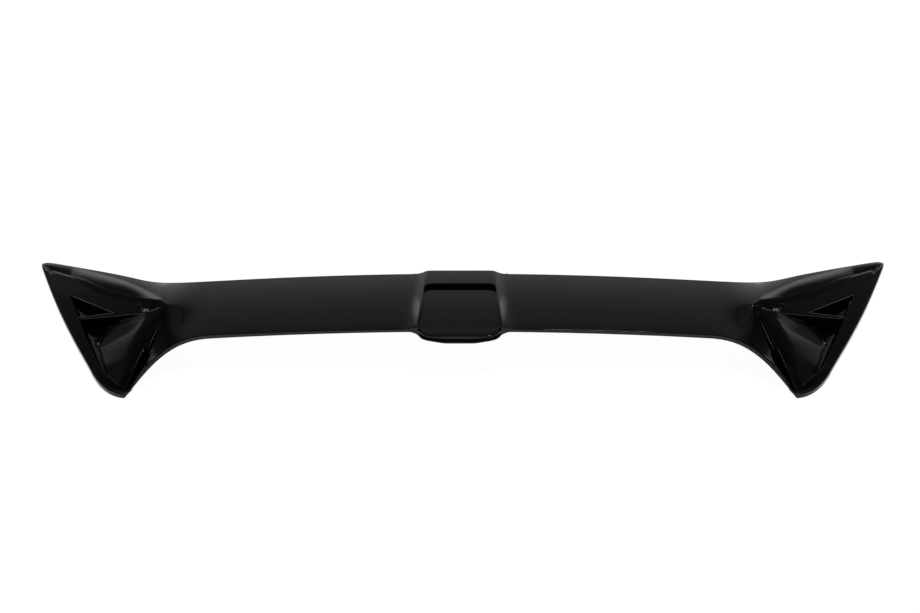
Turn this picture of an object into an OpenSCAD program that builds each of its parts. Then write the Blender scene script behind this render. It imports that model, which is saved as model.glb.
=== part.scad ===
// Rear roof spoiler: one gloss black moulding that bonds over the top of a tailgate.
// A cambered wing spans the car, a raised cap with a lamp recess stands at its middle,
// and a winglet at each end sweeps forward and down, with a blind intake and a blade.
// X runs across the car, Y points to the front of the car, Z is up.
// It stands on the lower rims of its two winglets, and the origin is the middle of its footprint.

/* [Overall] */
// Width from tip to tip
span = 1252; // [1152:10:1352]
// Thickness of the moulded skin
skin = 3; // [2.5:0.5:3.5]

/* [Wing] */
// Height of the trailing edge at the middle of the car
wing_h = 86; // [80:1:95]
// Front to back size of the wing at the middle
chord = 122; // [110:1:132]
// Distance of the trailing edge in front of the rear of the lobes
wing_y = 46; // [40:1:52]
// How much the trailing edge drops from the middle to the winglets
te_crown = 15; // [10:1:18]
// How much the leading edge drops from the middle to the winglets
le_crown = 11; // [8:1:14]
// How much the leading edge bows to the rear from the middle to the winglets
le_bow = 10; // [5:1:14]
// Rise of the top skin over the straight line between its two edges
camber = 4.5; // [3:0.5:7]
// Height of the rear face at the middle
lip_h = 5.5; // [5:0.5:8]
// Height that the rear face gains towards the winglets
lip_gain = 2; // [1:0.5:4]
// Height of the thin front edge that meets the roof
edge_h = 4.5; // [4:0.5:6]

/* [Winglets] */
// Distance from the tip to the inner corner of the winglet, across the car
pod_w = 221; // [208:1:230]
// Front to back length from the tip to the lobe
pod_len = 288; // [270:1:300]
// Distance of the inner corner in front of the lobe
corner_y = 100; // [94:1:106]
// Height of the inner corner
corner_h = 85; // [82:1:88]
// Distance from the tip to the middle of the lobe, across the car
lobe_in = 159; // [152:1:164]
// Distance in front of the rear where the outer edge starts to turn into the lobe
lobe_turn = 56; // [48:1:62]
// Outward bow of the outer edge between tip and lobe
rim_bow = 5; // [2:0.5:8]
// Height of the outer wall
rim_h = 9; // [7.5:0.5:10]
// Outward lean of the outer wall from top to foot
rim_lean = 3.5; // [1:0.5:4]
// Radius on the outer edges
edge_r = 2; // [1.5:0.5:2.5]
// Height of the step where the front band drops to the winglet face
step_h = 2.5; // [1.5:0.5:4]
// Sideways sag of that step from the straight line between corner and tip
step_sag = 14; // [8:1:18]
// Height of the wall between the ridge and the wing skin
ridge_drop = 6; // [4:0.5:8]

/* [Intakes] */
// Height of the intake floor over the lower rim
floor_h = 8; // [7:0.5:12]
// Width of the frame between the outer wall and the intake
frame_out = 28; // [25:1:32]
// Width of the frame between the ridge and the intake
frame_in = 31; // [26:1:34]
// Width of the frame between the rear of the lobe and the intake
frame_rear = 13; // [11:1:20]
// Distance across which the inner side of the intake slopes to its floor
scoop_w = 50; // [40:1:56]
// Width of the blade at its inner end
blade_root = 13; // [10:1:18]
// Width of the blade at its outer end
blade_tip = 4; // [3:0.5:7]
// Fillet radius inside the intakes
intake_r = 2.5; // [2:0.5:3]

/* [Middle cap] */
// Width of the cap on top at its front edge
cap_front_w = 94; // [84:1:104]
// Width of the cap on top at its rear edge
cap_rear_w = 116; // [106:1:126]
// Width of each flared side of the cap
cap_flare = 17; // [12:1:22]
// Height of the cap over the wing skin
cap_h = 6; // [5:0.5:9]
// Depth of the front bar of the cap
bar_w = 36; // [28:1:42]
// Depth of the lamp recess in the cap
recess_d = 6; // [4:0.5:7]
// Corner radius at the front of the recess
recess_r = 8; // [5:1:12]
// Distance that the tongue reaches behind the trailing edge
tongue_out = 13; // [9:1:16]
// Height of the rear face of the tongue
tongue_h = 15; // [12:1:17]
// Corner radius of the tongue seen from above
tongue_r = 28; // [20:1:32]

/* [Hidden] */
$fn = 24;
s_tip = span / 2;
s_cor = s_tip - pod_w;
s_lobe = s_tip - lobe_in;
below = -20;
cap_y0 = wing_y + chord;

function ramp(t, w) = (t + sqrt(t * t + w * w)) / 2;
function mix(a, b, t) = a + (b - a) * t;
function unit(t) = min(1, max(0, t));
function ease(t) = let (c = unit(t)) c * c * (3 - 2 * c);

// Trailing edge: level over the wing, then it rolls down and back into the lobe
fall_from = 68;
function fall(s) = let (u = unit((s - s_cor + fall_from) / (s_lobe - 5 - s_cor + fall_from)))
    pow(1 - pow(u, 2.6), 1.15);
function lip(s) = mix(rim_h - 2, lip_h + lip_gain * pow(s / s_cor, 2), fall(s));
function te_y(s) = mix(1, wing_y, fall(s));
function te_lean(s) = rim_lean * (1 - fall(s));
function te_z(s) = lip(s) + (wing_h - lip_h - (te_crown + lip_gain) * pow(s / s_cor, 2)) * fall(s);

// Face of the winglet: a plane through the corner, the tip and the outer edge
rim_a = [s_tip - 10, pod_len - 15];
rim_b = [s_lobe + 46, 48];
rim_n = [rim_a[1] - rim_b[1], rim_b[0] - rim_a[0]] / norm(rim_a - rim_b);
function face_in(s, y) = -((s - rim_a[0]) * rim_n[0] + (y - rim_a[1]) * rim_n[1]);
face_k = (corner_h - rim_h) / face_in(s_cor, corner_y);
function face_z(s, y) = rim_h + face_k * face_in(s, y);

// Leading edge: a shallow bow over the wing, then a sweep forward and down the winglet face to the tip
tip_over = 6;
function le_bow_y(s) = wing_y + chord - le_bow * pow(s / s_cor, 2);
function le_sweep(s) = le_bow_y(s)
    + (pod_len + tip_over - le_bow_y(s_tip)) * ramp(s - s_cor - 32, 33) / ramp(pod_w - 32, 33);
function le_y(s) = pod_len - ramp(pod_len - le_sweep(s), 4);
function le_z(s) = let (b = wing_h - 1 - le_crown * pow(s / s_cor, 2), f = face_z(s, le_y(s)))
    b - ramp(b - f, 12);

// Step line between the front band and the winglet face
step_end = s_tip - 56;
function step_t(s) = unit((s - s_cor) / (step_end - s_cor));
function step_y(s) = mix(corner_y, pod_len - 6, (s - s_cor) / pod_w) - step_sag * sin(180 * step_t(s));

// Ridge line from the corner down to the lobe
ridge_end = [s_lobe - 5, 3, rim_h + 1];
function ridge_t(s) = unit((s - s_cor) / (ridge_end[0] - s_cor));
function ridge_y(s) = mix(corner_y, ridge_end[1], ridge_t(s));
function ridge_z(s) = mix(corner_h, ridge_end[2], ridge_t(s));

// Wing skin at the corner line, with the swell that lifts it to the corner
function arc_z(s, y) = let (u = (le_y(s) - y) / (le_y(s) - te_y(s)))
    mix(le_z(s), te_z(s), u) + camber * (1 - pow(2 * u - 1, 2));
function swell(s) = ease((s - s_cor + 55) / 55);
function mid_z(s) = mix(arc_z(s, corner_y), corner_h - 0.5, swell(s));

// Points of the top skin at one station, from the leading edge to the foot of the rear face
band_n = 6;
rear_n = 6;
function top_c(s) = s <= s_cor ? [corner_y, mid_z(s)]
    : [step_y(s), face_z(s, step_y(s)) + step_h * sin(180 * step_t(s)) - (s > step_end ? -0.2 : 0)];
function low_c(s) = s <= s_cor ? [corner_y - 0.6, mid_z(s) - 0.1]
    : [ridge_y(s), ridge_z(s) - ridge_drop * ease((s - s_cor) / 25)];
function front_bulge(s) = let (l = (le_y(s) - corner_y) / (le_y(s) - te_y(s)))
    mix(camber * l * l, 2.5 - 2 * ease((s - s_cor - 60) / 110), ease((s - s_cor + 55) / 80));
function rear_bulge(s) = let (l = (corner_y - te_y(s)) / (le_y(s) - te_y(s)))
    mix(camber * l * l, -3 * fall(s), ease((s - s_cor + 45) / 50));
function blend(a, b, t, h) = [mix(a[0], b[0], t), mix(a[1], b[1], t) + 4 * h * t * (1 - t)];
function front_pts(s, off) = [for (k = [0 : band_n])
    let (p = blend([le_y(s) - edge_r, le_z(s)], top_c(s), k / band_n, front_bulge(s)))
    [p[0], p[1] - off]];
function rear_pts(s, off) = [for (k = [0 : rear_n])
    let (p = blend(low_c(s), [te_y(s) + te_lean(s), te_z(s)], k / rear_n, rear_bulge(s)))
    [p[0], p[1] - off]];

// Closed section of the solid form at one station
function outer_sec(s) = s < s_lobe - 3
    ? concat([[le_y(s) - 1, le_z(s) - edge_h], [le_y(s), le_z(s) - edge_r]], front_pts(s, 0),
        s > s_cor ? [top_c(s) - [2, 8 * unit((s - s_cor) / 8)]] : [mix(top_c(s), low_c(s), 0.5)],
        rear_pts(s, 0), [[te_y(s) + te_lean(s) - 0.8, te_z(s) - 1], [te_y(s) + 0.5 * fall(s), te_z(s) - lip(s)]])
    : let (c = top_c(s), a = [c[0] - 2, max(1, c[1] - 8)], b = [le_y(s) - 1, max(0.5, le_z(s) - edge_h)])
    concat([b, [le_y(s), le_z(s) - edge_r]], front_pts(s, 0), [a],
        [for (k = [1 : rear_n + 3]) mix(a, b, k / (rear_n + 4))]);

// Closed section of the hollow at one station, one skin inside and open below
function inner_sec(s) = let (f = front_pts(s, skin * 1.08), c = top_c(s))
    s < s_lobe - 3
    ? concat([[le_y(s) + 20, below], [le_y(s) + 20, le_z(s) - edge_h], [le_y(s) - 6, le_z(s) - edge_h]],
        [for (k = [1 : band_n - 1]) [min(f[k][0], le_y(s) - 7), f[k][1]]],
        s > s_cor + 6
            ? [[c[0] - 9, face_z(s, c[0] - 9) - skin * 1.25],
                [ridge_y(s) + 9, low_c(s)[1] - skin * 1.2]]
            : [c - [0, skin * 1.08], c - [1, skin * 1.08]],
        [for (p = [for (k = [1 : rear_n - 1]) rear_pts(s, skin * 1.15)[k]])
            [max(p[0], te_y(s) + te_lean(s) + skin + 0.2), p[1]]],
        [[te_y(s) + te_lean(s) + skin, te_z(s) - skin * 1.3], [te_y(s) + te_lean(s) + skin, below]])
    : concat([[le_y(s) + 20, below], [le_y(s) + 20, le_z(s) - edge_h], [le_y(s) - 6, le_z(s) - edge_h]],
        [for (k = [1 : band_n - 1]) [min(f[k][0], le_y(s) - 7), f[k][1]]],
        let (a = [c[0] - 9, face_z(s, c[0] - 9) - skin * 1.25], b = [c[0] - 9, below])
        [for (k = [0 : rear_n + 2]) mix(a, b, k / (rear_n + 2))]);

// Stations across the car, closer where the form changes quickly
half_s = concat(
    [for (k = [1 : 7]) (s_cor - 68) * k / 7],
    [for (d = [52, 38, 27, 18, 10, 4]) s_cor - d],
    [for (k = [0 : 11]) mix(s_cor + 1, s_lobe - 4, k / 11)],
    [for (k = [0 : 6]) mix(s_lobe - 2, step_end, k / 6)],
    [for (k = [1 : 5]) mix(step_end, s_tip - 3, k / 5)]);
all_s = concat([for (k = [len(half_s) - 1 : -1 : 0]) -half_s[k]], [0], half_s);

// Skin lofted through one closed section at each station
module loft(secs, xs) {
    m = len(secs[0]);
    n = len(xs);
    polyhedron(
        points = [for (i = [0 : n - 1]) for (p = secs[i]) [xs[i], p[0], p[1]]],
        faces = concat(
            [[for (j = [0 : m - 1]) j]],
            [for (i = [0 : n - 2]) for (j = [0 : m - 1]) let (q = (j + 1) % m)
                [i * m + j, (i + 1) * m + j, (i + 1) * m + q]],
            [for (i = [0 : n - 2]) for (j = [0 : m - 1]) let (q = (j + 1) % m)
                [i * m + j, (i + 1) * m + q, i * m + q]],
            [[for (j = [m - 1 : -1 : 0]) (n - 1) * m + j]]));
}

module wing_form() { loft([for (s = all_s) outer_sec(abs(s))], all_s); }
module wing_hollow() { loft([for (s = all_s) inner_sec(abs(s))], all_s); }

// Outer edge of the winglet seen from above, from the tip through the turn to the end of the lobe
turn_a = [s_lobe + 51, lobe_turn];
turn_b = turn_a + (turn_a - [s_tip, pod_len]) * (lobe_turn - 4) / (pod_len - lobe_turn);
turn_c = [s_lobe - 4, 0];
edge_dir = [s_tip, pod_len] - turn_a;
edge_nrm = [edge_dir[1], -edge_dir[0]] / norm(edge_dir);
function turn(t) = mix(mix(turn_a, turn_b, t), mix(turn_b, turn_c, t), t);
function turn_nrm(t) = let (d = mix(turn_a - turn_b, turn_b - turn_c, t)) [d[1], -d[0]] / norm(d);
function rim_line(inset) = concat(
    [[s_tip - inset, pod_len - inset]],
    [for (k = [1 : 4]) mix([s_tip, pod_len], turn_a, k / 4) + [rim_bow * sin(45 * k), 0] - inset * edge_nrm],
    [for (k = [1 : 8]) turn(k / 8) - inset * turn_nrm(k / 8)]);

module winglet_form(foot) {
    hull() {
        for (p = rim_line(edge_r + rim_lean)) translate([p[0], p[1], rim_h - edge_r]) sphere(edge_r, $fn = 12);
        for (p = rim_line(edge_r)) translate([p[0], p[1], 0]) cylinder(r = edge_r, h = 1, $fn = 12);
        translate([s_cor + edge_r, corner_y, corner_h - edge_r]) sphere(edge_r, $fn = 16);
        translate([s_cor + edge_r, corner_y, foot]) sphere(edge_r, $fn = 12);
    }
}

// The face ends just in front of the step, where the band takes over
module band_side() {
    translate([0, 0, below]) linear_extrude(200) polygon(concat(
        [for (k = [-1 : 14]) let (s = s_cor + (step_end - s_cor) * k / 14) [s, step_y(max(s, s_cor)) + 1.2]],
        [[s_tip + 20, pod_len + 40], [s_tip + 20, pod_len + 60], [s_cor - 40, pod_len + 60]]));
}

module winglet_plate() {
    difference() {
        winglet_form(corner_h - edge_r - ridge_drop - 4);
        band_side();
    }
}

// Plan of the hollow, which stops one wall inside the outer edge and runs out at the front
rim_in = skin + rim_lean + 1;
module hollow_plan() {
    translate([0, 0, below * 2]) linear_extrude(200) polygon(concat([[s_cor - 60, pod_len + 60]],
        [[s_tip - rim_in, pod_len + 60]], rim_line(rim_in), [[s_lobe - 4, -60], [s_cor - 60, -60]]));
    translate([-1, -60, below * 2]) cube([s_cor - 58, pod_len + 120, 200]);
}

module winglet_hollow() {
    in = rim_in;
    hull() {
        for (p = rim_line(in)) translate([p[0], p[1], below]) cylinder(r = 1, h = rim_h - below - 3.4, $fn = 8);
        translate([s_cor + skin + 2, corner_y - 1, corner_h - skin * 1.3 - 1]) sphere(1, $fn = 8);
        translate([s_cor + skin + 2, corner_y - 1, below]) sphere(1, $fn = 8);
    }
}

// Corners of the opening on the winglet face: front, outer end of the blade, outer side, rear, inner side
in_a = [s_tip - 31.5 - frame_out, pod_len - 87];
in_e = [s_tip - 52 - frame_out, pod_len - 137.5];
in_s = [s_tip - 76 - frame_out, pod_len - 194];
in_t = [s_lobe + 35, frame_rear + 37];
in_c = [s_lobe + 2.5, frame_rear];
in_b = [s_cor + frame_in - 1, corner_y - 4];
// Middle of the blade, where the notch in the front edge of the opening meets it, and its inner end
in_v = [s_cor + frame_in + 53, corner_y + 27];
in_r = [s_cor + frame_in + 4, corner_y + 12];

// Hull between points just over the winglet face and points on the intake floor
module tub(top, low, grow) {
    hull() {
        for (p = top) translate([p[0], p[1], face_z(p[0], p[1]) + 4]) sphere(1 + grow, $fn = 12);
        for (p = low) translate([p[0], p[1], floor_h + intake_r]) sphere(intake_r + grow, $fn = 12);
    }
}

// Big scooped lower intake and small upper intake, with the blade left standing between them
module intakes(grow) {
    tub([in_e + [-1, -blade_tip / 2], in_r - [1, blade_root - 1], in_b + [-2, 0], in_c + [0, 3],
            in_c + [6, 5], in_t + [-1, 0], in_s + [-1, 0]],
        [in_e - [10, 16], [in_b[0] + scoop_w, in_v[1] - 4], in_c + [6, 12], in_t - [4, 0], in_s - [6, 0]], grow);
    tub([in_a - [2, 4], in_e + [0.5, blade_tip / 2 + 1], in_v + [2, 4]],
        [in_a - [12, 18], in_e + [-6, 7], in_v + [16, 16]], grow);
}

// Raised cap at the middle, with flared sides that widen to the rear
cap_n = 8;
function cap_half(y) = mix(cap_rear_w, cap_front_w, (y - wing_y) / chord) / 2;
function cap_rise(d) = cap_h * (1 - ease(d));
cap_d = [for (k = [0 : 6]) k / 6];
function cap_row(y, drop) = let (w = cap_half(y))
    [for (d = concat([for (k = [6 : -1 : 0]) -1 - cap_d[k]], [0], [for (k = [0 : 6]) 1 + cap_d[k]]))
        let (x = abs(d) < 1 ? 0 : sign(d) * (w + (abs(d) - 1) * cap_flare))
        [x, y, arc_z(abs(x), y) + cap_rise(max(0, abs(d) - 1)) - drop]];
cap_ys = [for (k = [0 : cap_n]) mix(cap_y0 - 4, wing_y - 1, k / cap_n)];

module cap_form() {
    m = 15;
    n = cap_n + 1;
    rows = [for (y = cap_ys) each concat(cap_row(y, 0), [for (p = cap_row(y, 0)) [p[0], p[1], arc_z(abs(p[0]), y) - 2.5]])];
    w = 2 * m;
    polyhedron(points = rows, faces = concat(
        [concat([for (j = [m - 1 : -1 : 0]) j], [for (j = [0 : m - 1]) m + j])],
        [concat([for (j = [0 : m - 1]) (n - 1) * w + j], [for (j = [m - 1 : -1 : 0]) (n - 1) * w + m + j])],
        [for (i = [0 : n - 2]) for (j = [0 : m - 2]) each [
            [i * w + j, i * w + j + 1, (i + 1) * w + j + 1], [i * w + j, (i + 1) * w + j + 1, (i + 1) * w + j],
            [i * w + m + j, (i + 1) * w + m + j + 1, i * w + m + j + 1],
            [i * w + m + j, (i + 1) * w + m + j, (i + 1) * w + m + j + 1]]],
        [for (i = [0 : n - 2]) each [
            [i * w, (i + 1) * w, (i + 1) * w + m], [i * w, (i + 1) * w + m, i * w + m],
            [i * w + m - 1, (i + 1) * w + 2 * m - 1, (i + 1) * w + m - 1],
            [i * w + m - 1, i * w + 2 * m - 1, (i + 1) * w + 2 * m - 1]]]));
}

// Space above a copy of the wing skin that is raised by h, over the width of the cap
module over_skin(h) {
    xs = [for (k = [-5 : 5]) k * (cap_rear_w / 2 + cap_flare) / 5];
    ys = [for (k = [0 : 8]) mix(wing_y - tongue_out - 10, cap_y0 + 10, k / 8)];
    loft([for (x = xs) concat([for (y = ys) [y, arc_z(abs(x), max(wing_y, min(cap_y0, y))) + h]],
        [[ys[8], wing_h + 60], [ys[0], wing_h + 60]])], xs);
}

// Lamp recess: it runs from the front bar out over the tongue
recess_y = cap_y0 - bar_w;
module recess() {
    intersection() {
        over_skin(cap_h - recess_d);
        linear_extrude(wing_h + 50) offset(recess_r) offset(-recess_r) polygon([
            [-cap_half(recess_y) + 1, recess_y], [cap_half(recess_y) - 1, recess_y],
            [cap_half(wing_y) - 1, wing_y], [cap_half(wing_y) - 1, wing_y - 60],
            [-cap_half(wing_y) + 1, wing_y - 60], [-cap_half(wing_y) + 1, wing_y]]);
    }
}

// Tongue at the rear of the cap, with a rolled rear edge
tongue_z = arc_z(0, wing_y) + cap_h - recess_d;
module tongue_form(inset, foot) {
    hull() for (m = [-1, 1]) {
        x = m * (cap_rear_w / 2 - tongue_r);
        y = wing_y - tongue_out + tongue_r;
        translate([x, y, tongue_z - tongue_h - foot])
            cylinder(r1 = tongue_r - 1.5 - inset, r2 = tongue_r - inset, h = tongue_h + foot - 3);
        translate([x, y, tongue_z - 3 - inset]) cylinder(r1 = tongue_r - inset, r2 = tongue_r - 2 - inset, h = 3);
        translate([m * (cap_rear_w / 2 - 6), wing_y + 34, tongue_z - tongue_h - foot])
            cylinder(r = 5, h = tongue_h + foot - 2 - inset);
    }
}

// Hollow under the front bar, so that the bar has the wall of the rest
module bar_core() {
    difference() {
        translate([-cap_front_w / 2 + 4, recess_y + skin, wing_h - 20])
            cube([cap_front_w - 8, bar_w - skin - 9, 60]);
        over_skin(cap_h - skin);
    }
}

module both_sides() {
    children();
    mirror([1, 0, 0]) children();
}

module spoiler_shell() {
    color([0.05, 0.05, 0.055]) translate([0, -pod_len / 2, 0]) difference() {
        union() {
            difference() {
                union() {
                    wing_form();
                    cap_form();
                    tongue_form(0, 0);
                    both_sides() winglet_plate();
                }
                intersection() {
                    wing_hollow();
                    both_sides() hollow_plan();
                }
                tongue_form(skin, 30);
                bar_core();
                both_sides() winglet_hollow();
            }
            both_sides() intersection() {
                intakes(skin);
                winglet_form(1);
            }
        }
        both_sides() intakes(0);
        recess();
    }
}

spoiler_shell();
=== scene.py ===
import math

import bmesh
import bpy
import numpy as np
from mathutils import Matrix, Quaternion, Vector


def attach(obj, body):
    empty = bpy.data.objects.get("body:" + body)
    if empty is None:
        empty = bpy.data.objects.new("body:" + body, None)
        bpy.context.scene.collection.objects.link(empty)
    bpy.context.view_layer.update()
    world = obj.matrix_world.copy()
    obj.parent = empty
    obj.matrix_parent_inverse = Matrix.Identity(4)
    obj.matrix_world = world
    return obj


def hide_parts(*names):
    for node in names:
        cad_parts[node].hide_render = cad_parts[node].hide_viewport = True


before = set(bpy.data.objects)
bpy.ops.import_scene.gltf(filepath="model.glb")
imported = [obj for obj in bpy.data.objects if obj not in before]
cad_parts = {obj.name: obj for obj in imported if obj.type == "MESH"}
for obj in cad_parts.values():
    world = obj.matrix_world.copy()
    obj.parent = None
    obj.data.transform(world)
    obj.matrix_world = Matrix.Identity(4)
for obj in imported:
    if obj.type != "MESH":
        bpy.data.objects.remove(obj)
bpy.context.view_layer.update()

# Camera
# It looks at the spoiler from the rear of the car and from above, almost square on,
# and frames the full span with a white margin, as the photograph does.
aim = Vector((-0.0008, 0.0045, 0.040))
camera_distance = 2.8
camera_elevation = math.radians(40)
camera_yaw = math.radians(0.942)
camera_roll = math.radians(-0.637)
toward_camera = Vector((
    math.sin(camera_yaw) * math.cos(camera_elevation),
    -math.cos(camera_yaw) * math.cos(camera_elevation),
    math.sin(camera_elevation),
))
camera = bpy.data.objects.new("camera", bpy.data.cameras.new("camera"))
bpy.context.scene.collection.objects.link(camera)
camera.location = aim + toward_camera * camera_distance
camera.rotation_mode = "QUATERNION"
camera.rotation_quaternion = toward_camera.to_track_quat("Z", "Y") @ Quaternion((0, 0, 1), camera_roll)
camera.data.sensor_width = 36
camera.data.lens = 77.25
bpy.context.scene.camera = camera
bpy.context.scene.view_settings.view_transform = "Standard"

# Floor and light
# A white table stands under one large soft lamp and one strip for the edges. The room around
# it is pale low down and darker overhead, to the sides and behind the camera. A soft tilted
# panel beyond each end of the spoiler gives the black gloss its light bands.
floor_size = 12
floor_below = 0.0004
floor_white = 0.86
floor_seen = 0.18
floor_glow = 0.96
ramp_stops = [(0.0, 0.82), (0.35, 0.80), (0.5, 0.68), (0.78, 0.48), (0.92, 0.2), (1.0, 0.12)]
side_from, side_to, side_dim = 0.45, 0.68, 0.12
rear_from, rear_to, rear_dim = -0.35, 0.15, 0.15
panel_way = (0.60, 0.65, 0.36)
panel_size = (0.42, 0.6, 0.13)
panel_tilt = math.radians(34)
panel_core, panel_level = 0.15, 2.2


def material_nodes(name):
    """A new node material and a function that adds a node to it with its settings."""
    made = bpy.data.materials.new(name)
    made.use_nodes = True
    made.node_tree.nodes.clear()

    def add(kind, **settings):
        node = made.node_tree.nodes.new(kind)
        for key, value in settings.items():
            setattr(node, key, value)
        return node

    return made, add, made.node_tree.links.new


floor_paint, add, link = material_nodes("floor_paint")
ray = add("ShaderNodeLightPath")
table = add("ShaderNodeBsdfDiffuse")
table.inputs["Color"].default_value = (floor_white, floor_white, floor_white, 1)
seen = add("ShaderNodeBsdfDiffuse")
seen.inputs["Color"].default_value = (floor_seen, floor_seen, floor_seen, 1)
glow = add("ShaderNodeEmission")
glow.inputs["Strength"].default_value = floor_glow
bright = add("ShaderNodeAddShader")
looked_at = add("ShaderNodeMath", operation="MAXIMUM")
by_ray = add("ShaderNodeMixShader")
floor_out = add("ShaderNodeOutputMaterial")
link(seen.outputs[0], bright.inputs[0])
link(glow.outputs[0], bright.inputs[1])
link(ray.outputs["Is Camera Ray"], looked_at.inputs[0])
link(ray.outputs["Is Glossy Ray"], looked_at.inputs[1])
link(looked_at.outputs[0], by_ray.inputs["Fac"])
link(table.outputs[0], by_ray.inputs[1])
link(bright.outputs[0], by_ray.inputs[2])
link(by_ray.outputs[0], floor_out.inputs["Surface"])

bm = bmesh.new()
bmesh.ops.create_grid(bm, x_segments=4, y_segments=4, size=floor_size / 2)
bmesh.ops.translate(bm, verts=bm.verts, vec=(0, 0, -floor_below))
floor_mesh = bpy.data.meshes.new("floor")
bm.to_mesh(floor_mesh)
bm.free()
floor_mesh.materials.append(floor_paint)
floor = bpy.data.objects.new("floor", floor_mesh)
bpy.context.scene.collection.objects.link(floor)

world = bpy.data.worlds.new("studio")
bpy.context.scene.world = world
world.use_nodes = True
tree = world.node_tree
tree.nodes.clear()


def sky_node(kind, **settings):
    node = tree.nodes.new(kind)
    for key, value in settings.items():
        setattr(node, key, value)
    return node


def sky_range(source, low, high, to_low, to_high):
    """Smooth change of a value from to_low to to_high, as the source goes from low to high."""
    node = sky_node("ShaderNodeMapRange", interpolation_type="SMOOTHSTEP")
    tree.links.new(source, node.inputs["Value"])
    for key, value in (("From Min", low), ("From Max", high), ("To Min", to_low), ("To Max", to_high)):
        node.inputs[key].default_value = value
    return node.outputs["Result"]


where = sky_node("ShaderNodeTexCoord")
mirror = sky_node("ShaderNodeVectorMath", operation="ABSOLUTE")
split = sky_node("ShaderNodeSeparateXYZ")
sides = sky_node("ShaderNodeSeparateXYZ")
rise = sky_node("ShaderNodeValToRGB")
tree.links.new(where.outputs["Generated"], split.inputs[0])
tree.links.new(where.outputs["Generated"], mirror.inputs[0])
tree.links.new(mirror.outputs[0], sides.inputs[0])
tree.links.new(split.outputs["Z"], rise.inputs["Fac"])
rise.color_ramp.elements[0].position = ramp_stops[0][0]
rise.color_ramp.elements[1].position = ramp_stops[-1][0]
for place, level in ramp_stops[1:-1]:
    rise.color_ramp.elements.new(place)
for stop, (place, level) in zip(rise.color_ramp.elements, ramp_stops):
    stop.color = (level, level, level, 1)
flat = sky_node("ShaderNodeCombineXYZ")
tree.links.new(sides.outputs["X"], flat.inputs["X"])
tree.links.new(split.outputs["Y"], flat.inputs["Y"])
tree.links.new(split.outputs["Z"], flat.inputs["Z"])
oval = sky_node("ShaderNodeMapping", vector_type="TEXTURE")
oval.inputs["Location"].default_value = panel_way
oval.inputs["Rotation"].default_value = (0, panel_tilt, 0)
oval.inputs["Scale"].default_value = panel_size
panel = sky_node("ShaderNodeVectorMath", operation="LENGTH")
tree.links.new(flat.outputs[0], oval.inputs["Vector"])
tree.links.new(oval.outputs["Vector"], panel.inputs[0])
dim = sky_range(sides.outputs["X"], side_from, side_to, 1.0, side_dim)
glare = sky_range(panel.outputs["Value"], panel_core, 1.0, panel_level, 0.0)
back = sky_range(split.outputs["Y"], rear_from, rear_to, rear_dim, 1.0)
dimmed = sky_node("ShaderNodeMath", operation="MULTIPLY")
darker = sky_node("ShaderNodeMath", operation="MULTIPLY")
tree.links.new(rise.outputs["Color"], darker.inputs[0])
tree.links.new(back, darker.inputs[1])
tree.links.new(darker.outputs[0], dimmed.inputs[0])
tree.links.new(dim, dimmed.inputs[1])
total = sky_node("ShaderNodeMath", operation="ADD")
tree.links.new(dimmed.outputs[0], total.inputs[0])
tree.links.new(glare, total.inputs[1])
sky = sky_node("ShaderNodeBackground")
world_out = sky_node("ShaderNodeOutputWorld")
tree.links.new(total.outputs[0], sky.inputs["Strength"])
tree.links.new(sky.outputs[0], world_out.inputs["Surface"])


def soft_box(name, place, aim_at, width, depth, power):
    """A rectangular area lamp that faces a point."""
    lamp = bpy.data.lights.new(name, "AREA")
    lamp.shape = "RECTANGLE"
    lamp.size = width
    lamp.size_y = depth
    lamp.energy = power
    box = bpy.data.objects.new(name, lamp)
    bpy.context.scene.collection.objects.link(box)
    box.location = place
    box.rotation_mode = "QUATERNION"
    box.rotation_quaternion = (Vector(place) - Vector(aim_at)).to_track_quat("Z", "Y")


soft_box("overhead", place=(0, -0.3, 2.6), aim_at=(0, 0, 0), width=3.0, depth=2.4, power=4)
soft_box("edge_strip", place=(0.48, -0.7, 2.5), aim_at=(0.3, 0, 0), width=0.42, depth=0.12, power=11)

# Wing skin
# The spoiler is one injection moulding in black ABS with a piano gloss lacquer. Its wing is
# a 3 mm skin: a front edge that meets the roof, a cambered top and a low rear face that
# rolls down into the lobes at both ends. Sizes here are in millimetres from the lobes' rear.
span = 1252
skin = 3
wing_h, chord, wing_y = 86, 122, 46
te_crown, le_crown, le_bow = 15, 11, 10
camber, lip_h, lip_gain, edge_h = 4.5, 5.5, 2, 4.5
winglet_w, winglet_len = 221, 288
corner_y, corner_h = 100, 85
lobe_in, lobe_turn = 159, 56
edge_bow, edge_top, edge_lean, edge_r = 5, 9, 3.5, 2
step_h, step_sag, roll_front = 3.2, 14, 6.6
step_fade_run = 30
step_drop = [(0, 0), (2.2, 0.3), (4.4, 1.3), (6.6, 2.7), (8.6, 4.0), (11, 5.6)]
ridge_drop = 6
fall_from = 68
tip_over = 6
sweep_from, sweep_soft = 32, 33
swell_run = 55
lip_r = 1.6

tip_s = span / 2
corner_s = tip_s - winglet_w
lobe_s = tip_s - lobe_in
step_end = tip_s - 56
ridge_end = (lobe_s - 5, 3, edge_top + 1)


def mix(a, b, t):
    return a + (b - a) * t


def unit(t):
    return min(1.0, max(0.0, t))


def ease(t):
    return unit(t) ** 2 * (3 - 2 * unit(t))


def soft_max(t, width):
    return (t + math.sqrt(t * t + width * width)) / 2


def fall(s):
    """1 on the wing, 0 where the trailing edge has rolled down into the lobe."""
    run = unit((s - corner_s + fall_from) / (lobe_s - 5 - corner_s + fall_from))
    return (1 - run ** 2.6) ** 1.15


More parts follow.
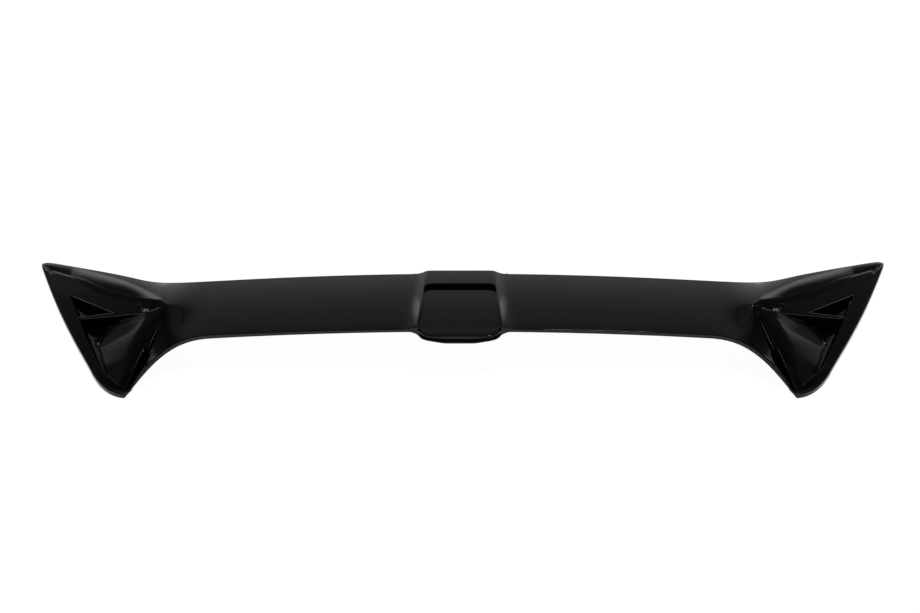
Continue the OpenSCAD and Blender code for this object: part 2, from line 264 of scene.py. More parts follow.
def rear_edge(s):
    """Place of the trailing edge, height of the rear face below it and lean of that face."""
    lip = mix(edge_top - 2, lip_h + lip_gain * (s / corner_s) ** 2, fall(s))
    y = mix(1.0, wing_y, fall(s))
    z = lip + (wing_h - lip_h - (te_crown + lip_gain) * (s / corner_s) ** 2) * fall(s)
    return y, z, lip, edge_lean * (1 - fall(s))


edge_a = np.array([tip_s - 10, winglet_len - 15])
edge_b = np.array([lobe_s + 46, 48])
edge_n = np.array([edge_a[1] - edge_b[1], edge_b[0] - edge_a[0]]) / np.linalg.norm(edge_a - edge_b)


def inside_edge(s, y):
    return -((s - edge_a[0]) * edge_n[0] + (y - edge_a[1]) * edge_n[1])


face_slope = (corner_h - edge_top) / inside_edge(corner_s, corner_y)


def face_z(s, y):
    """Height of the winglet face in its plane part."""
    return edge_top + face_slope * inside_edge(s, y)


def front_edge(s):
    """Place and height of the leading edge."""
    def bow(at):
        return wing_y + chord - le_bow * (at / corner_s) ** 2
    run = soft_max(s - corner_s - sweep_from, sweep_soft) / soft_max(winglet_w - sweep_from, sweep_soft)
    sweep = bow(s) + (winglet_len + tip_over - bow(tip_s)) * run
    y = winglet_len - soft_max(winglet_len - sweep, 4)
    crown = wing_h - 1 - le_crown * (s / corner_s) ** 2
    return y, crown - soft_max(crown - face_z(s, y), 12)


def step_t(s):
    """Share of the step's length, from the inner corner (0) to its end (1)."""
    return unit((s - corner_s) / (step_end - corner_s))


def step_y(s):
    """Line where the front band drops to the winglet face."""
    straight = mix(corner_y, winglet_len - 6, (s - corner_s) / winglet_w)
    return straight - step_sag * math.sin(math.pi * step_t(s))


def step_fade(s):
    """0 along most of the step, rising to 1 where it runs out toward the tip."""
    return ease((s - step_end + step_fade_run) / step_fade_run)


def wing_arc(s, y):
    """Height of the plain cambered wing, without the swell at the winglets."""
    (le_y, le_z), (te_y, te_z, _, _) = front_edge(s), rear_edge(s)
    u = (le_y - y) / (le_y - te_y)
    return mix(le_z, te_z, u) + camber * (1 - (2 * u - 1) ** 2)


def swell_height(s):
    """Height of the wing on the line through the inner corner, where it swells up to the winglet."""
    return mix(wing_arc(s, corner_y), corner_h - 0.5, ease((s - corner_s + swell_run) / swell_run))


front_rows, step_rows, rear_rows = 18, 6, 18
top_rows = front_rows + step_rows + rear_rows
first_top_row = 8
first_rear = first_top_row + front_rows + step_rows


def top_profile(s):
    """Points of the top skin at one station, from the leading to the trailing edge."""
    (le_y, le_z), (te_y, te_z, _, lean) = front_edge(s), rear_edge(s)
    start = (le_y - edge_r, le_z)
    end = (te_y + lean, te_z)
    share = (le_y - corner_y) / (le_y - te_y)
    band_bulge = 2.5 - 2 * ease((s - corner_s - 60) / 110)
    front_bulge = mix(camber * share ** 2, band_bulge, ease((s - corner_s + swell_run) / 80))
    rear_bulge = mix(camber * (1 - share) ** 2, -3 * fall(s), ease((s - corner_s + 45) / 50))
    if s <= corner_s:
        top = foot = (corner_y, swell_height(s))
    else:
        t = unit((s - corner_s) / (ridge_end[0] - corner_s))
        top_y = step_y(s) + roll_front * ease((s - corner_s) / 14) * (1 - step_fade(s))
        top = (top_y, face_z(s, top_y) + step_h * math.sin(math.pi * step_t(s)) ** 0.6)
        foot = (mix(corner_y, ridge_end[1], t),
                mix(corner_h, ridge_end[2], t) - 0.5 - ridge_drop * ease((s - corner_s) / 25))

    def height(y):
        if y >= top[0]:
            t = (start[0] - y) / (start[0] - top[0])
            return mix(start[1], top[1], t) + 4 * front_bulge * t * (1 - t)
        t = (foot[0] - y) / (foot[0] - end[0])
        return mix(foot[1], end[1], t) + 4 * rear_bulge * t * (1 - t)

    points = []
    for j in range(top_rows + 1):
        bunch = mix(1.2, 0.0, unit((s - corner_s) / 8))
        if j <= front_rows:
            y = mix(start[0], top[0] + bunch, j / front_rows)
        elif j < front_rows + step_rows:
            y = top[0] + (front_rows + step_rows / 2 - j) * bunch / (step_rows / 2)
        else:
            y = mix(foot[0] - bunch, end[0], (j - front_rows - step_rows) / rear_rows)
        if s <= corner_s:
            y = mix(mix(start[0], end[0], j / top_rows), y, ease((s - corner_s + 90) / 86))
            spread = mix(14, 1.5, ease((s - corner_s + 40) / 40))
            points.append((y, (height(y + spread) + 2 * height(y) + height(y - spread)) / 4))
        elif j <= front_rows:
            points.append((y, height(y)))
        elif j < front_rows + step_rows:
            rearward, drop = step_drop[j - front_rows]
            open_by = unit((s - corner_s) / 8)
            y -= rearward * open_by * mix(1, 0.12, step_fade(s)) * mix(1, 1.3, step_t(s))
            points.append((y, top[1] - drop * open_by * mix(1, 0.08, step_fade(s))))
        else:
            points.append((y, height(y)))
    return points


def section(s):
    """All points of the outer skin at one station, from the front rim to the rear rim."""
    (le_y, le_z), (te_y, te_z, lip, lean) = front_edge(s), rear_edge(s)
    top = top_profile(s)
    points = [(le_y - 0.6, le_z - edge_h), (le_y - 0.2, le_z - edge_h + 1.2)]
    for k in range(7):
        turn = math.radians(15 * k)
        points.append((le_y - edge_r + edge_r * math.cos(turn), le_z - edge_r + edge_r * math.sin(turn)))
    points += top[1:-1]
    (y1, z1), (y0, z0) = top[-1], top[-2]
    top_way = np.array([y1 - y0, z1 - z0]) / math.hypot(y1 - y0, z1 - z0)
    foot = np.array([te_y + 0.5 * fall(s), te_z - lip])
    edge = np.array([y1, z1])
    down = (foot - edge) / np.linalg.norm(foot - edge)
    for k in range(7):
        t = k / 6
        points.append(tuple((1 - t) ** 2 * (edge - top_way * lip_r) + 2 * t * (1 - t) * edge
                            + t * t * (edge + down * lip_r)))
    points.append(tuple(mix(edge + down * lip_r, foot, 0.5)))
    points.append(tuple(foot))
    return points


shoulder_run, shoulder_passes = 46, 60
plain_s = corner_s - 70
stations = [plain_s * k / 46 for k in range(46)]
stations += [mix(plain_s, corner_s, k / 40) for k in range(40)]
stations += [mix(corner_s, lobe_s - 3, k / 34) for k in range(34)]
stations += [mix(lobe_s - 3, tip_s - 4, k / 46) for k in range(47)]
all_stations = [-s for s in reversed(stations[1:])] + stations
shape = np.array([section(s) for s in stations])


def blend(s, row):
    """How much the shoulder's smoothing moves a point: most at the inner corner."""
    close = ease(1.4 - abs(s - corner_s - 4) / shoulder_run * 1.4)
    return close if row > first_rear else close * ease((corner_s - 1 - s) / 28)


near = np.array([[blend(s, row) for row in range(len(shape[0]))] for s in stations])[:, :, None]
rows = slice(first_rear - 9, first_rear + rear_rows - 2)
above, below = slice(rows.start - 1, rows.stop - 1), slice(rows.start + 1, rows.stop + 1)
for _ in range(shoulder_passes):
    even = (shape[:-2, rows] + shape[2:, rows] + shape[1:-1, above] + shape[1:-1, below]) / 4
    shape[1:-1, rows] = mix(shape[1:-1, rows], even, near[1:-1, rows])
sections = {s: shape[k] for k, s in enumerate(stations)}
around = len(sections[0]) - 1
across = len(all_stations) - 1


def moved_grid(columns, rows, place, drop=None):
    """A grid whose corner at (column, row) goes to place(column, row), less the cells that drop names."""
    grid = bmesh.new()
    bmesh.ops.create_grid(grid, x_segments=columns, y_segments=rows, size=0.5)
    if drop:
        lost = []
        for face in grid.faces:
            middle = face.calc_center_median()
            if drop(int((middle.x + 0.5) * columns), int((middle.y + 0.5) * rows)):
                lost.append(face)
        bmesh.ops.delete(grid, geom=lost, context="FACES")
    for vert in grid.verts:
        vert.co = place(round((vert.co.x + 0.5) * columns), round((vert.co.y + 0.5) * rows))
    return grid


def to_frame(s, y, z):
    """A point in millimetres from the lobes' rear, as a place in the part's frame in metres."""
    return Vector((s / 1000, (y - winglet_len / 2) / 1000, z / 1000))


def wing_place(column, row):
    s = all_stations[column]
    y, z = sections[abs(s)][row]
    return to_frame(s, y, z)


hidden_row = first_rear - 1


def under_winglet(column, row):
    """True for the cells of the wing's grid that the winglet takes over."""
    s = min(abs(all_stations[column]), abs(all_stations[column + 1]))
    return (s >= corner_s + 2.9 and row == hidden_row) or (s >= lobe_s - 3.5 and row >= hidden_row)


def gloss_plastic():
    """Black plastic under clear lacquer: faint orange peel, slow mould waviness and a little haze."""
    made, add, link = material_nodes("piano_black")
    out = add("ShaderNodeOutputMaterial")
    body = add("ShaderNodeBsdfPrincipled")
    body.inputs["Base Color"].default_value = (0.0025, 0.0025, 0.0027, 1)
    body.inputs["IOR"].default_value = 1.1
    body.inputs["Coat Weight"].default_value = 1.0
    body.inputs["Coat IOR"].default_value = 1.33
    where = add("ShaderNodeTexCoord")
    haze = add("ShaderNodeTexNoise")
    haze.inputs["Scale"].default_value = 9
    haze.inputs["Detail"].default_value = 5
    rough = add("ShaderNodeMapRange")
    rough.inputs["To Min"].default_value = 0.26
    rough.inputs["To Max"].default_value = 0.36
    peel = add("ShaderNodeTexNoise")
    peel.inputs["Scale"].default_value = 420
    peel.inputs["Detail"].default_value = 1
    peel_bump = add("ShaderNodeBump")
    peel_bump.inputs["Strength"].default_value = 0.05
    peel_bump.inputs["Distance"].default_value = 0.0002
    wave = add("ShaderNodeTexNoise")
    wave.inputs["Scale"].default_value = 14
    wave.inputs["Detail"].default_value = 0
    wave_bump = add("ShaderNodeBump")
    wave_bump.inputs["Strength"].default_value = 0.05
    wave_bump.inputs["Distance"].default_value = 0.002
    for noise in (haze, peel, wave):
        link(where.outputs["Object"], noise.inputs["Vector"])
    link(haze.outputs["Fac"], rough.inputs["Value"])
    link(rough.outputs["Result"], body.inputs["Roughness"])
    body.inputs["Coat Roughness"].default_value = 0.03
    link(wave.outputs["Fac"], wave_bump.inputs["Height"])
    link(peel.outputs["Fac"], peel_bump.inputs["Height"])
    link(wave_bump.outputs["Normal"], peel_bump.inputs["Normal"])
    link(peel_bump.outputs["Normal"], body.inputs["Normal"])
    link(wave_bump.outputs["Normal"], body.inputs["Coat Normal"])
    link(body.outputs["BSDF"], out.inputs["Surface"])
    return made


plastic = gloss_plastic()


def moulded(name, shape, wall=0.0, rim_r=0.0):
    """Turns a bmesh into a piece of the shell, with its wall thickness and rounded rims."""
    for face in shape.faces:
        face.smooth = True
    mesh = bpy.data.meshes.new(name)
    shape.to_mesh(mesh)
    shape.free()
    mesh.materials.append(plastic)
    piece = bpy.data.objects.new(name, mesh)
    bpy.context.scene.collection.objects.link(piece)
    if wall:
        solid = piece.modifiers.new("wall", "SOLIDIFY")
        solid.thickness = wall / 1000
        solid.offset = -1
    if rim_r:
        rim = piece.modifiers.new("rim", "BEVEL")
        rim.width = rim_r / 1000
        rim.segments = 2
        rim.limit_method = "ANGLE"
        rim.angle_limit = math.radians(50)
        rim.harden_normals = False
    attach(piece, "root")
    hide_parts("spoiler_shell")
    return piece


wing = moved_grid(across, around, wing_place, under_winglet)
bmesh.ops.reverse_faces(wing, faces=wing.faces)
moulded("wing_skin", wing, wall=skin, rim_r=0.6)

# Winglets
# Each end of the same moulding is a winglet. Its face is a cone whose apex is the inner
# corner and whose base is the bowed outer edge and the lobe. A blind intake is sunk in it,
# with a level floor, a scooped inner side and a blade that stands across it.
cone_top = np.array([corner_s + edge_r, corner_y, corner_h - edge_r])
turn_a = np.array([lobe_s + 51, lobe_turn])
tip = np.array([tip_s, winglet_len])
turn_b = turn_a + (turn_a - tip) * (lobe_turn - 4) / (winglet_len - lobe_turn)
turn_c = np.array([lobe_s - 4, 0])


def turned(d):
    return np.array([d[1], -d[0]]) / np.linalg.norm(d)


def outer_edge(u):
    """Point and outward direction of the outer edge, from the tip (0) to the end of the lobe (1)."""
    if u <= 0.6:
        t = u / 0.6
        return mix(tip, turn_a, t) + np.array([edge_bow * math.sin(math.pi * t), 0]), turned(tip - turn_a)
    t = (u - 0.6) / 0.4
    point = mix(mix(turn_a, turn_b, t), mix(turn_b, turn_c, t), t)
    return point, turned(mix(turn_a - turn_b, turn_b - turn_c, t))


tip_lean, rim_lean = 1.5, 2.2
tip_out = outer_edge(0)[1]
tip_r = edge_r + tip_lean
tip_inset = tip - np.array([tip_r * (1 - tip_out[1]) / tip_out[0], tip_r])


def lean_at(u):
    """Distance that the foot of the outer wall stands out from its rounded edge."""
    return mix(mix(tip_lean, rim_lean, ease(u / 0.12)), edge_lean, ease((u - 0.75) / 0.25))


def edge_centre(u):
    """Middle of the rounding along the outer edge."""
    if u == 0:
        return tip_inset
    point, out = outer_edge(u)
    return point - (edge_r + lean_at(u)) * out


edge_us = [0] + [0.03 + 0.97 * k / 240 for k in range(241)]
cone_base = np.array([edge_centre(u) for u in edge_us])
base_turn = np.arctan2(cone_base[:, 1] - corner_y, cone_base[:, 0] - cone_top[0])
base_far = np.hypot(cone_base[:, 0] - cone_top[0], cone_base[:, 1] - corner_y)
base_way = np.gradient(cone_base, axis=0)
spokes = np.column_stack([cone_base - cone_top[:2], np.full(len(cone_base), edge_top - corner_h)])
base_up = np.cross(np.column_stack([base_way, np.zeros(len(base_way))]), spokes)
base_up *= np.sign(base_up[:, 2:3]) / np.linalg.norm(base_up, axis=1, keepdims=True)
by_turn = np.argsort(base_turn)


def face_normal(q):
    turn = math.atan2(q[1] - corner_y, q[0] - cone_top[0])
    up = np.array([np.interp(turn, base_turn[by_turn], base_up[by_turn, k]) for k in range(3)])
    return up / np.linalg.norm(up)


def cone_point(q):
    """Point of the surface through the middles of the roundings, over plan point q."""
    turn = math.atan2(q[1] - corner_y, q[0] - cone_top[0])
    far = np.interp(turn, base_turn[by_turn], base_far[by_turn])
    share = math.hypot(q[0] - cone_top[0], q[1] - corner_y) / far
    return np.array([q[0], q[1], mix(cone_top[2], edge_top - edge_r, share)])


# A shallow hollow lies between the step and the end of the ridge, beside the blade's root.
hollow = np.array([
    (404, 99.6), (433.5, 103.2), (438.5, 106.5), (447.5, 111.5), (449.5, 116), (443, 128), (404, 112),
])
hollow_depth, hollow_edge = 5.0, 2.2


def hollow_at(q):
    """Depth of the hollow at plan point q, with rounded sides."""
    sides = np.roll(hollow, -1, axis=0) - hollow
    across_side = sides[:, 0] * (q[1] - hollow[:, 1]) - sides[:, 1] * (q[0] - hollow[:, 0])
    inside = across_side / np.linalg.norm(sides, axis=1)
    return hollow_depth * ease(inside.min() / hollow_edge)


def face_point(q):
    return cone_point(q) + edge_r * face_normal(q) - np.array([0, 0, hollow_at(q)])


def along(path, count):
    """count + 1 even points along a line of plan points."""
    path = np.array(path, float)
    run = np.concatenate([[0], np.cumsum(np.linalg.norm(np.diff(path, axis=0), axis=1))])
    at = np.linspace(0, run[-1], count + 1)
    return np.column_stack([np.interp(at, run, path[:, k]) for k in range(2)])


step_cols, edge_cols, ridge_cols = 120, 150, 100
loop_cols = step_cols + edge_cols + ridge_cols

near_corner = cone_top[:2] + np.array([1.0, 0.4])
step_line = [near_corner]
step_line += [np.array([s, step_y(s) + 1.2]) for s in np.linspace(corner_s + 6, tip_s - 12, 60)]
step_line += [tip_inset]
outer_line = np.vstack([
    along(step_line, step_cols)[:-1],
    along([edge_centre(u) for u in edge_us], edge_cols)[:-1],
    along([edge_centre(1), near_corner], ridge_cols),
])

open_front = np.array([566.5, 201])
open_notch = np.array([489, 129.5])
open_root = np.array([441, 118.5])
open_inner = np.array([435.5, 96])
open_rear = np.array([469.5, 13])
open_outer = [open_front, (545.8, 150), (521.8, 94), (501.5, 49.5), (487, 30), open_rear]
root_cols = 40
opening = np.vstack([
    along([open_root, open_notch], root_cols)[:-1],
    along([open_notch, open_front], step_cols - root_cols)[:-1],
    along(open_outer, edge_cols)[:-1],
    along([open_rear, (458, 34), (447, 60), open_inner, open_root], ridge_cols),
])
floor_h = 8
low_root, low_notch, low_front, low_rear = (514, 132), (506, 144), (557, 185), (484, 27.5)
floor_line = np.vstack([
    along([low_root, low_notch], root_cols)[:-1],
    along([low_notch, low_front], step_cols - root_cols)[:-1],
    along([low_front, (543.5, 147), (519, 94), (499, 51), (487, 33.5), low_rear], edge_cols)[:-1],
    along([low_rear, (498, 57), (512, 94), low_root], ridge_cols),
])


def rounded(loop, passes):
    """The same closed loop with its corners rounded off."""
    line = loop[:-1].copy()
    for _ in range(passes):
        line = (np.roll(line, 1, axis=0) + 2 * line + np.roll(line, -1, axis=0)) / 4
    return np.vstack([line, line[:1]])


opening = rounded(opening, 2)
floor_line = rounded(floor_line, 14)
brink_r, scoop_brink_r = 1.3, 15.0


def brink_at(column):
    """Width of the intake's rounded brink: narrow all round, wide along its scooped inner side."""
    start = ease((column - step_cols - edge_cols - 4) / 30)
    end = ease((loop_cols - 8 - column) / 22)
    return mix(brink_r, scoop_brink_r, start * end)


open_lip = [brink_at(column) for column in range(loop_cols + 1)]
frame_rows, lip_rows, side_rows, foot_rows, floor_rows = 14, 7, 8, 6, 6
pocket_rows = frame_rows + lip_rows + side_rows + foot_rows + floor_rows
floor_middle = np.array([517, 108, floor_h])
foot_r = 9
tip_sink = 0.5


def curve(a, b, c, t):
    """Point on the rounding that leaves a, turns at b and ends at c."""
    return (1 - t) ** 2 * a + 2 * t * (1 - t) * b + t * t * c


def toward(a, b, distance):
    return a + (b - a) * min(0.45, distance / np.linalg.norm(b - a))


def face_place(side):
    """Places of the winglet's face, from its outer edge over the brink into the intake."""
    def place(column, row):
        out, hole = outer_line[column], opening[column]
        brink = face_point(hole)
        low = np.array([*floor_line[column], floor_h])
        lip_start = hole + (out - hole) / np.linalg.norm(out - hole) * open_lip[column]
        if row <= frame_rows:
            point = face_point(mix(out, lip_start, row / frame_rows))
            if row == 0 and column <= step_cols:
                point[2] -= tip_sink * step_fade(out[0])
        elif row <= frame_rows + lip_rows:
            t = (row - frame_rows) / lip_rows
            point = curve(face_point(lip_start), brink, toward(brink, low, open_lip[column]), t)
        elif row <= frame_rows + lip_rows + side_rows:
            t = (row - frame_rows - lip_rows) / side_rows
            point = mix(toward(brink, low, open_lip[column]), toward(low, brink, foot_r), t)
        elif row <= pocket_rows - floor_rows:
            t = (row - frame_rows - lip_rows - side_rows) / foot_rows
            point = curve(toward(low, brink, foot_r), low, toward(low, floor_middle, foot_r), t)
        else:
            t = (row - pocket_rows + floor_rows) / floor_rows
            point = mix(toward(low, floor_middle, foot_r), floor_middle, t)
        return to_frame(side * point[0], point[1], point[2])
    return place


ridge_out = turned(edge_centre(1) - near_corner)
wall_cols = []
front_way = np.array([-0.30, 0.954])
for k in range(9):
    q = np.array([tip_s - 34, front_edge(tip_s - 34)[0] - 5.5])
    wall_cols.append((mix(q, tip_inset, k / 8), front_way, "front", k / 8))
for k in range(1, 8):
    way = mix(front_way, outer_edge(0)[1], k / 8)
    wall_cols.append((tip_inset, way / np.linalg.norm(way), "tip", tip_lean))
for c in range(edge_cols + 1):
    q = outer_line[step_cols + c]
    nearest = edge_us[int(np.argmin(np.hypot(*(cone_base - q).T)))]
    wall_cols.append((q, outer_edge(nearest)[1], "edge", lean_at(nearest)))
for k in range(1, 8):
    way = mix(outer_edge(1)[1], ridge_out, k / 8)
    wall_cols.append((outer_line[step_cols + edge_cols], way / np.linalg.norm(way), "lobe", 1 - k / 8))
for c in range(ridge_cols + 1):
    wall_cols.append((outer_line[step_cols + edge_cols + c], ridge_out, "ridge", c / ridge_cols))
corner_way = np.array([-0.5, 0.866])
for k in range(1, 4):
    way = mix(ridge_out, corner_way, k / 6)
    wall_cols.append((near_corner, way / np.linalg.norm(way), "corner", k / 3))
round_rows = 7
wall_rows = round_rows + 4
corner_hang, ridge_hang = 8, 16


def wall_place(side):
    """Places of the winglet's outer wall: a rounding off the face, then down to the foot."""
    def place(column, row):
        q, way, kind, t = wall_cols[column]
        middle = cone_point(q)
        up = face_normal(q)
        if kind == "front":
            middle[2] -= mix(3.5, 0.5, t)
        elif kind == "corner":
            middle[2] -= 1.4 * t
        out = np.array([*way, 0.0])
        turn = math.acos(float(np.clip(up @ out, -1, 1)))
        k = min(1, row / round_rows)
        ball = (math.sin((1 - k) * turn) * up + math.sin(k * turn) * out) / math.sin(turn)
        point = middle + edge_r * ball
        lean = {"edge": t, "tip": t, "lobe": edge_lean * t, "front": tip_lean * t}.get(kind, 0)
        point = point + lean * math.sin(k * turn) / math.sin(turn) * out
        if row > round_rows:
            k = (row - round_rows) / (wall_rows - round_rows)
            if kind in ("edge", "tip", "lobe"):
                foot = np.array([*(q + (edge_r + lean) * way), 0.0])
            elif kind == "front":
                foot = np.array([*(q + (edge_r + lean) * way), mix(middle[2] - 2, 0, t)])
            elif kind == "corner":
                foot = np.array([*(q + edge_r * way), middle[2] - corner_hang])
            else:
                hem = max(0.0, mix(0.0, middle[2] - ridge_hang, unit(t * 6)))
                foot = np.array([*(q + edge_r * way), hem])
            point = mix(point, foot, k)
        return to_frame(side * point[0], point[1], point[2])
    return place


blade_cols, blade_rows = 40, 16
blade_upper = along([(549, 153.3), (491.7, 131.4), (456, 126.5), (434, 119)], blade_cols)
blade_lower = along([(549, 149.8), (487, 124.0), (434, 102)], blade_cols)
blade_low_upper = along([(547, 151.5), (495, 137), (470, 130), (436, 118)], blade_cols)
blade_low_lower = along([(546, 147), (487, 125), (462, 116), (436, 104)], blade_cols)
blade_r = 1.4
blade_sunk, blade_rooted = 0.35, 1.5


def blade_place(side):
    """Places of the blade: up its rear side, over its rounded top and down its front side."""
    def place(column, row):
        sunk = np.array([0, 0, blade_sunk])
        top_a, top_b = face_point(blade_lower[column]) - sunk, face_point(blade_upper[column]) - sunk
        low_a = np.array([*blade_low_lower[column], floor_h - blade_rooted])
        low_b = np.array([*blade_low_upper[column], floor_h - blade_rooted])
        if row <= 3:
            point = mix(low_a, toward(top_a, low_a, blade_r), row / 3)
        elif row <= 7:
            point = curve(toward(top_a, low_a, blade_r), top_a, toward(top_a, top_b, blade_r), (row - 3) / 4)
        elif row <= 9:
            point = mix(toward(top_a, top_b, blade_r), toward(top_b, top_a, blade_r), (row - 7) / 2)
        elif row <= 13:
            point = curve(toward(top_b, top_a, blade_r), top_b, toward(top_b, low_b, blade_r), (row - 9) / 4)
        else:
            point = mix(toward(top_b, low_b, blade_r), low_b, (row - 13) / 3)
        return to_frame(side * point[0], point[1], point[2])
    return place


for side, name in ((-1, "left"), (1, "right")):
    face = moved_grid(loop_cols, pocket_rows, face_place(side))
    wall = moved_grid(len(wall_cols) - 1, wall_rows, wall_place(side))
    blade = moved_grid(blade_cols, blade_rows, blade_place(side))
    if side > 0:
        bmesh.ops.reverse_faces(face, faces=face.faces)
        bmesh.ops.reverse_faces(blade, faces=blade.faces)
    else:
        bmesh.ops.reverse_faces(wall, faces=wall.faces)
    wall_mesh = bpy.data.meshes.new("wall")
    wall.to_mesh(wall_mesh)
    wall.free()
    face.from_mesh(wall_mesh)
    bpy.data.meshes.remove(wall_mesh)
    bmesh.ops.remove_doubles(face, verts=face.verts, dist=0.00003)
    moulded("winglet_" + name, face, wall=skin - 0.5, rim_r=0.5)
    moulded("blade_" + name, blade)

# Cap and tongue
# The middle of the moulding is raised over a lamp recess. The recess is open to the rear,
# where its floor runs out over a tongue with rounded corners. The cap's shoulders fall in
# an S to the wing on both sides and follow the wing over its front and rear edges.
cap_front_w, cap_rear_w, cap_h = 94, 116, 6
flare_front, flare_rear = 18, 24
bar_w, recess_r, cap_r = 35, 10, 0.8
tongue_out, tongue_h, tongue_r = 13, 15, 20
cap_front = wing_y + chord
recess_front = cap_front - bar_w


def cap_half(y):
    return mix(cap_rear_w, cap_front_w, (y - wing_y) / chord) / 2


def cap_flare(y):
    return mix(flare_rear, flare_front, (y - wing_y) / chord)


def cap_top(x, y):
    """Height of the cap's top and shoulders, from the wing under it."""
    t = unit((abs(x) - cap_half(y)) / cap_flare(y))
    return wing_arc(abs(x), y) + cap_h * (1 - t) ** 2 - 0.1


def recess_half(y):
    """Half width of the recess: its sides bow outward toward the rear."""
    t = (y - wing_y) / (recess_front - wing_y)
    return cap_half(y) - 1 - 2.2 * math.sin(math.pi * unit(t)) ** 2


side_cols, bend_cols, bar_cols = 30, 16, 24
turn_y = recess_front - recess_r
inner_path, outer_path = [], []
for k in range(side_cols):
    y = mix(wing_y, turn_y, k / side_cols)
    inner_path.append((-recess_half(y), y))
    outer_path.append((-cap_half(y) - cap_flare(y), y))
bend_x = -recess_half(turn_y) + recess_r
for k in range(bend_cols + 1):
    turn = math.radians(90 * k / bend_cols)
    inner_path.append((bend_x - recess_r * math.cos(turn), turn_y + recess_r * math.sin(turn)))
outer_bend = along([(-cap_half(turn_y) - cap_flare(turn_y), turn_y),
                    (-cap_half(cap_front) - flare_front, cap_front),
                    (bend_x, cap_front)], bend_cols)
outer_path += [tuple(point) for point in outer_bend]
for k in range(1, bar_cols + 1):
    x = mix(bend_x, 0, k / bar_cols)
    inner_path.append((x, recess_front))
    outer_path.append((x, cap_front))
for path in (inner_path, outer_path):
    path += [(-x, y) for x, y in reversed(path[:-1])]
roll_cols = 6
cap_cols = len(inner_path) - 1 + 2 * roll_cols
wall_part, round_part, top_part, edge_part = 3, 4, 22, 5
cap_rows = wall_part + round_part + top_part + edge_part


def cap_place(column, row):
    """Places of the cap: up the recess's wall, over the top and shoulders, down onto the wing."""
    c = min(max(column - roll_cols, 0), len(inner_path) - 1)
    (ix, iy), (ox, oy) = inner_path[c], outer_path[c]
    before, after = inner_path[max(c - 1, 0)], inner_path[min(c + 1, len(inner_path) - 1)]
    inward = np.array([after[1] - before[1], before[0] - after[0]])
    inward = inward / np.linalg.norm(inward)
    top_run = row - wall_part - round_part
    if row <= wall_part:
        x, y = np.array([ix, iy]) + inward * mix(0.5, 0, row / wall_part)
        z = mix(wing_arc(abs(x), y) - 0.8, cap_top(ix, iy) - cap_r, row / wall_part)
    elif top_run <= 0:
        t = (row - wall_part) / round_part * math.pi / 2
        x, y = np.array([ix, iy]) - inward * cap_r * (1 - math.cos(t))
        z = cap_top(x, y) - cap_r * (1 - math.sin(t))
    else:
        start = np.array([ix, iy]) - inward * cap_r
        end = np.array([ox, oy - edge_r if oy > cap_front - 1 else oy])
        t = min(1, top_run / top_part)
        x, y = mix(start, end, t)
        z = cap_top(x, y)
        if top_run > top_part:
            t = (top_run - top_part) / edge_part
            if oy > cap_front - 1:
                turn = min(1, t * 1.5) * math.pi / 2
                y = oy - edge_r + edge_r * math.sin(turn) + 0.1
                z -= edge_r * (1 - math.cos(turn)) + max(0, t - 2 / 3) * 3 * cap_h
            else:
                away = (end - start) / np.linalg.norm(end - start)
                x, y = end + away * 4 * t
                z = wing_arc(abs(x), y) - 0.1 - 0.9 * t * t
    over = max(roll_cols - column, column - roll_cols - len(inner_path) + 1, 0)
    if over:
        turn = min(1, over / (roll_cols - 1)) * math.pi / 2
        raised = max(0, z - wing_arc(abs(x), wing_y)) / cap_h
        y -= 1.2 * math.sin(turn) * raised + 0.1
        z -= 1.6 * (1 - math.cos(turn))
        if over == roll_cols:
            z = min(z, wing_arc(abs(x), wing_y) - 4.5)
    return to_frame(x, y, z)


cap = moved_grid(cap_cols, cap_rows, cap_place)
moulded("cap", cap)

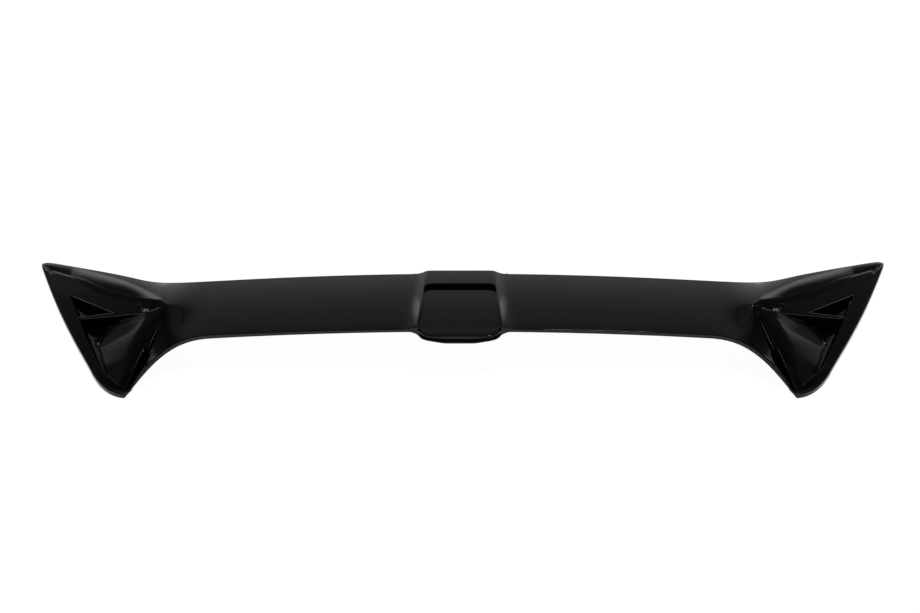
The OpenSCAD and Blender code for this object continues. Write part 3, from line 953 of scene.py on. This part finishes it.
tongue_path = [(-76, wing_y + 0.1), (-64, wing_y), (-58.6, wing_y - 0.6)]
for k in range(17):
    turn = math.radians(mix(30, 90, k / 16))
    tongue_path.append((tongue_r - cap_rear_w / 2 - tongue_r * math.cos(turn),
                        wing_y - tongue_out + tongue_r - tongue_r * math.sin(turn)))
tongue_path += [(-20, wing_y - tongue_out), (0, wing_y - tongue_out)]
tongue_path += [(-x, y) for x, y in reversed(tongue_path[:-1])]
tongue_cols = 90
tongue_path = along(tongue_path, tongue_cols)
for _ in range(3):
    tongue_path[1:-1] = (tongue_path[:-2] + 2 * tongue_path[1:-1] + tongue_path[2:]) / 4
tongue_round = 2.6
shelf_rows, roll_rows, drop_rows = 6, 6, 8
groove = [0, -0.9, -1.3, -1.0, 0.2, 1.1, 1.7, 2.0, 0.4]


def tongue_top(x, y):
    """Height of the recess's floor and of the tongue that carries it on to the rear."""
    if y > wing_y:
        level = wing_arc(abs(x), y) - 0.3 * ease((y - wing_y - 1) / 4)
    else:
        level = wing_arc(abs(x), wing_y) - 0.09 * (wing_y - y)
    return level + 0.05 - 1.6 * ease((abs(x) - 54) / 6)


def tongue_place(column, row):
    """Places of the tongue: its flat top, its rounded edge and its grooved rear face."""
    x, y = tongue_path[column]
    before, after = tongue_path[max(column - 1, 0)], tongue_path[min(column + 1, tongue_cols)]
    out = turned(after - before)
    edge = np.array([x, y])
    low = mix(wing_h - lip_h, wing_h - 9, ease((70 - abs(x)) / 14))
    low = mix(low, wing_h - tongue_h + 1.6, ease((46 - abs(x)) / 30))
    round_r = mix(1.0, tongue_round, ease((62 - abs(x)) / 12))
    if row <= shelf_rows:
        at = edge - out * mix(18, round_r, row / shelf_rows)
        point = np.array([*at, tongue_top(*at)])
    elif row <= shelf_rows + roll_rows:
        turn = (row - shelf_rows) / roll_rows * math.pi / 2
        at = edge - out * round_r * (1 - math.sin(turn))
        point = np.array([*at, tongue_top(*edge) - round_r * (1 - math.cos(turn)) * 0.9])
    else:
        t = (row - shelf_rows - roll_rows) / drop_rows
        high = tongue_top(*edge) - round_r * 0.9
        at = edge + out * (groove[row - shelf_rows - roll_rows] * ease((62 - abs(x)) / 12))
        point = np.array([*at, mix(high, min(low, high - 1), min(1, 1.15 * t))])
    return to_frame(*point)


tongue = moved_grid(tongue_cols, shelf_rows + roll_rows + drop_rows, tongue_place)
moulded("tongue", tongue)
